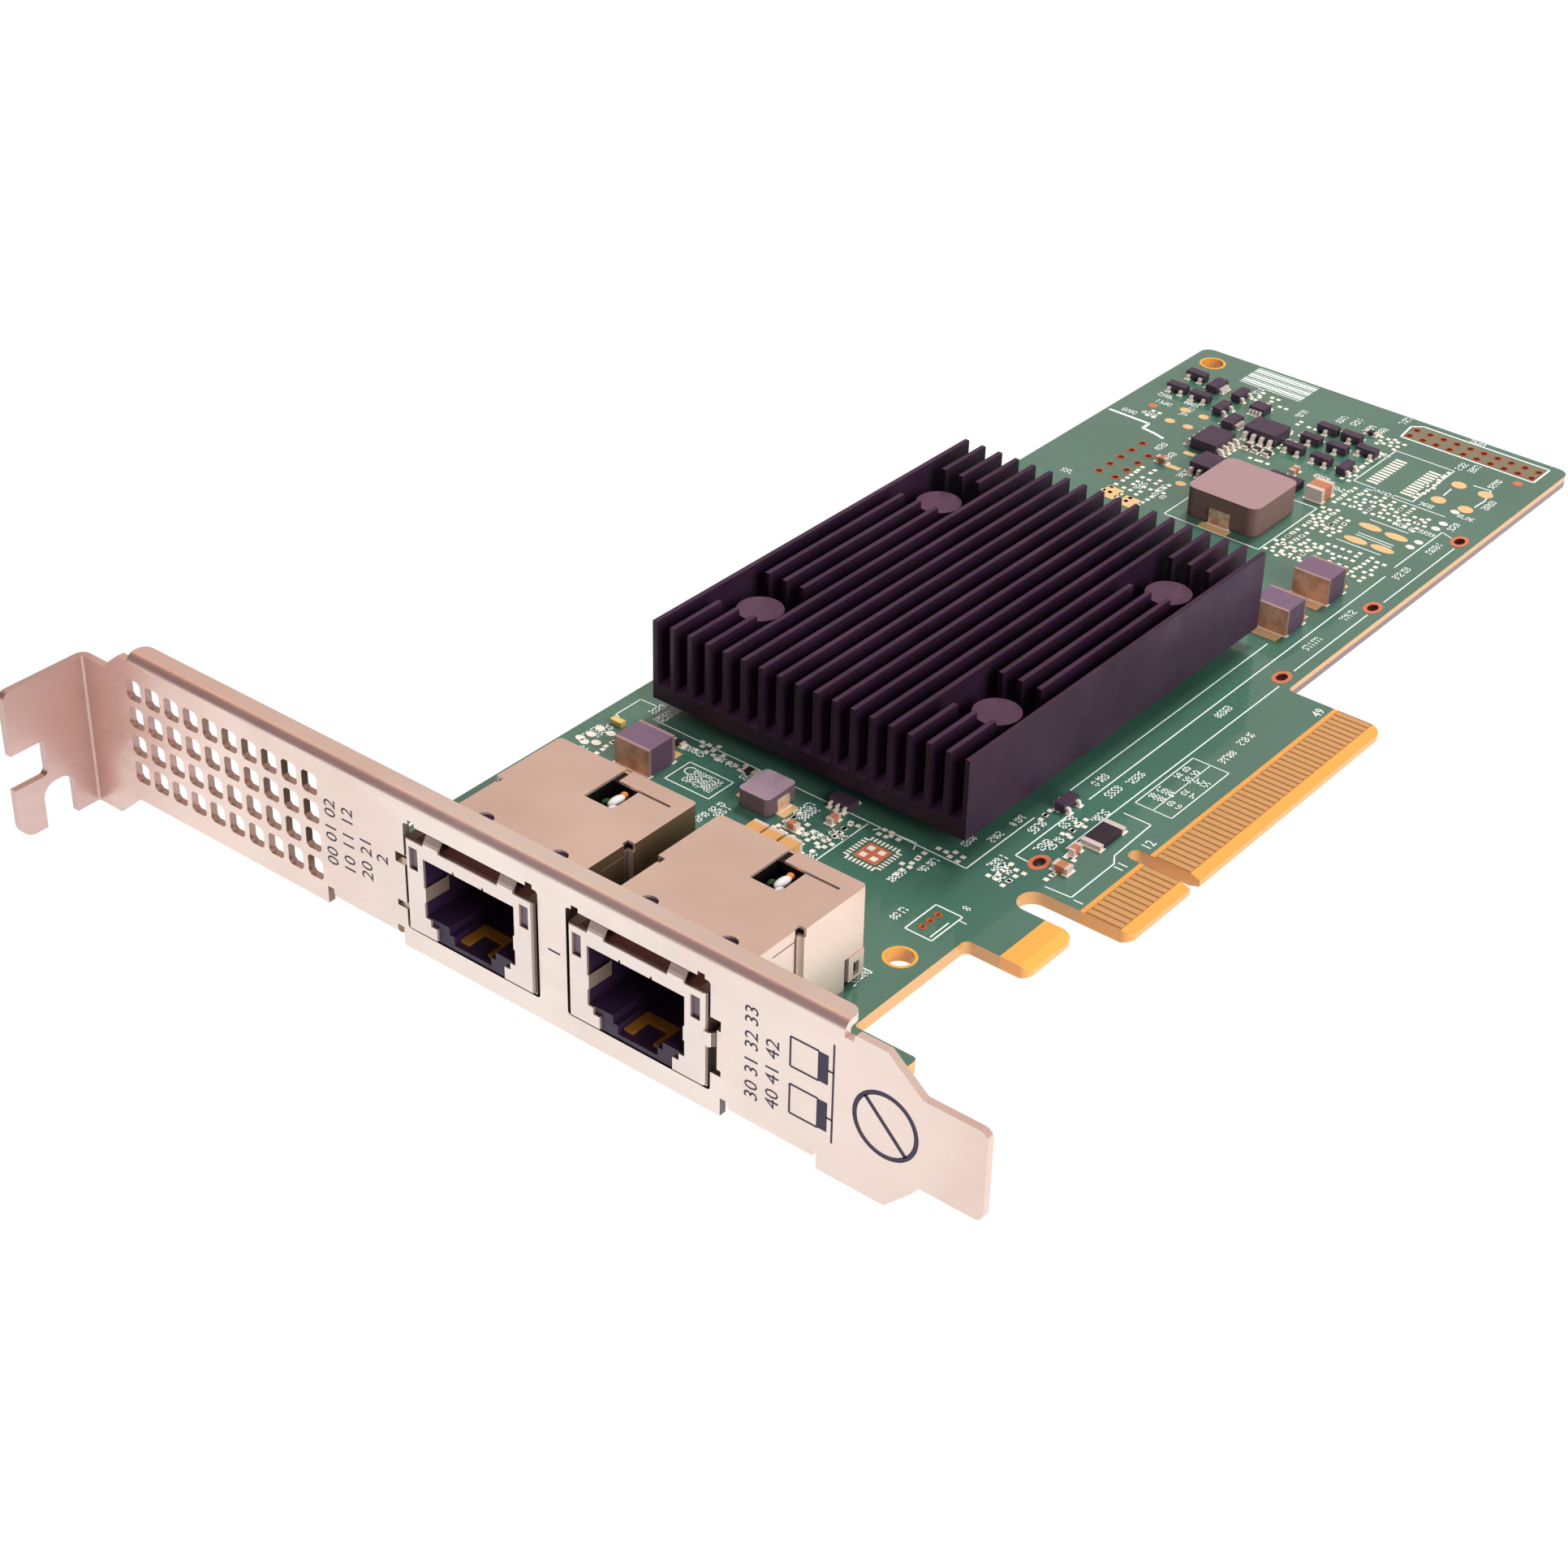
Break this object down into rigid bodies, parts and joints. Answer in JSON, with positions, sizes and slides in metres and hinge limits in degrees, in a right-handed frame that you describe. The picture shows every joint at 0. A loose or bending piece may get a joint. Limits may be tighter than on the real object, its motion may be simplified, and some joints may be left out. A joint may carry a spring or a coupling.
{
  "type": "network interface card",
  "caption": "Network interface card with two RJ45 sockets, plated bracket with vent grid, finned heatsink and edge connector",
  "frame": {"origin": "middle of the key notch of the edge connector, at the tips of the contacts, on the component side of the board", "axes": "+X out of the edge connector, +Y along the card away from the bracket, +Z out of the component side"},
  "size_m": [0.12, 0.1791, 0.0215],
  "materials": {
    "amber": "amber film, glossy",
    "board": "smooth green solder mask, slightly glossy",
    "bracket_nickel": "nickel-plated sheet steel, fine grain",
    "capacitor_tan": "fired ceramic, tan brown",
    "chip_black": "black moulded epoxy, fine matt",
    "ferrite": "dark sintered ferrite, matt",
    "gold": "thin gold plating, softly polished",
    "heatsink_anodised": "dark purple-black anodising, satin",
    "inductor_grey": "pressed iron powder, matt grey",
    "inductor_powder": "pressed iron powder, matt",
    "light_lens": "clear amber lens",
    "light_pipe": "clear light pipe, unlit, dark",
    "pad_grey": "soft grey thermal pad",
    "pin_dark": "dark moulded plastic",
    "potting_black": "black potting compound",
    "resistor_black": "black coated ceramic",
    "screw_steel": "bright zinc plated",
    "shield_nickel": "nickel-plated sheet, satin",
    "socket_plastic": "dark grey moulded plastic",
    "spring_steel": "bright spring wire",
    "tin": "tinned solder, bright"
  },
  "bodies": {
    "root": {"bracket": "bracket_nickel", "bracket_screws": "screw_steel", "ceramic_capacitor_ends": "tin", "ceramic_capacitors": "capacitor_tan", "chip_capacitor_ends": "tin", "chip_capacitors": "capacitor_tan", "chip_resistor_ends": "tin", "chip_resistors": "resistor_black", "circuit_board": "board", "controller_chip": "chip_black", "edge_contacts": "gold", "ferrite_block_ends": "tin", "ferrite_blocks": "ferrite", "filter_inductor": "inductor_grey", "filter_inductor_terminals": "tin", "heatsink": "heatsink_anodised", "heatsink_pins": "pin_dark", "heatsink_springs": "spring_steel", "logic_chip_leads": "tin", "logic_chips": "chip_black", "port_1_contacts": "gold", "port_1_housing": "socket_plastic", "port_1_insert": "amber", "port_1_lights": "light_pipe", "port_1_magnetics": "potting_black", "port_1_shield": "shield_nickel", "port_2_contacts": "gold", "port_2_housing": "socket_plastic", "port_2_insert": "amber", "port_2_lights": "light_pipe", "port_2_magnetics": "potting_black", "port_2_shield": "shield_nickel", "power_inductor": "inductor_powder", "power_inductor_terminals": "tin", "power_switch": "chip_black", "regulator_chip_leads": "tin", "regulator_chips": "chip_black", "sense_resistor": "resistor_black", "sense_resistor_ends": "tin", "status_light": "light_lens", "thermal_pad": "pad_grey", "transistor_leads": "tin", "transistors": "chip_black"}
  },
  "joints": []
}
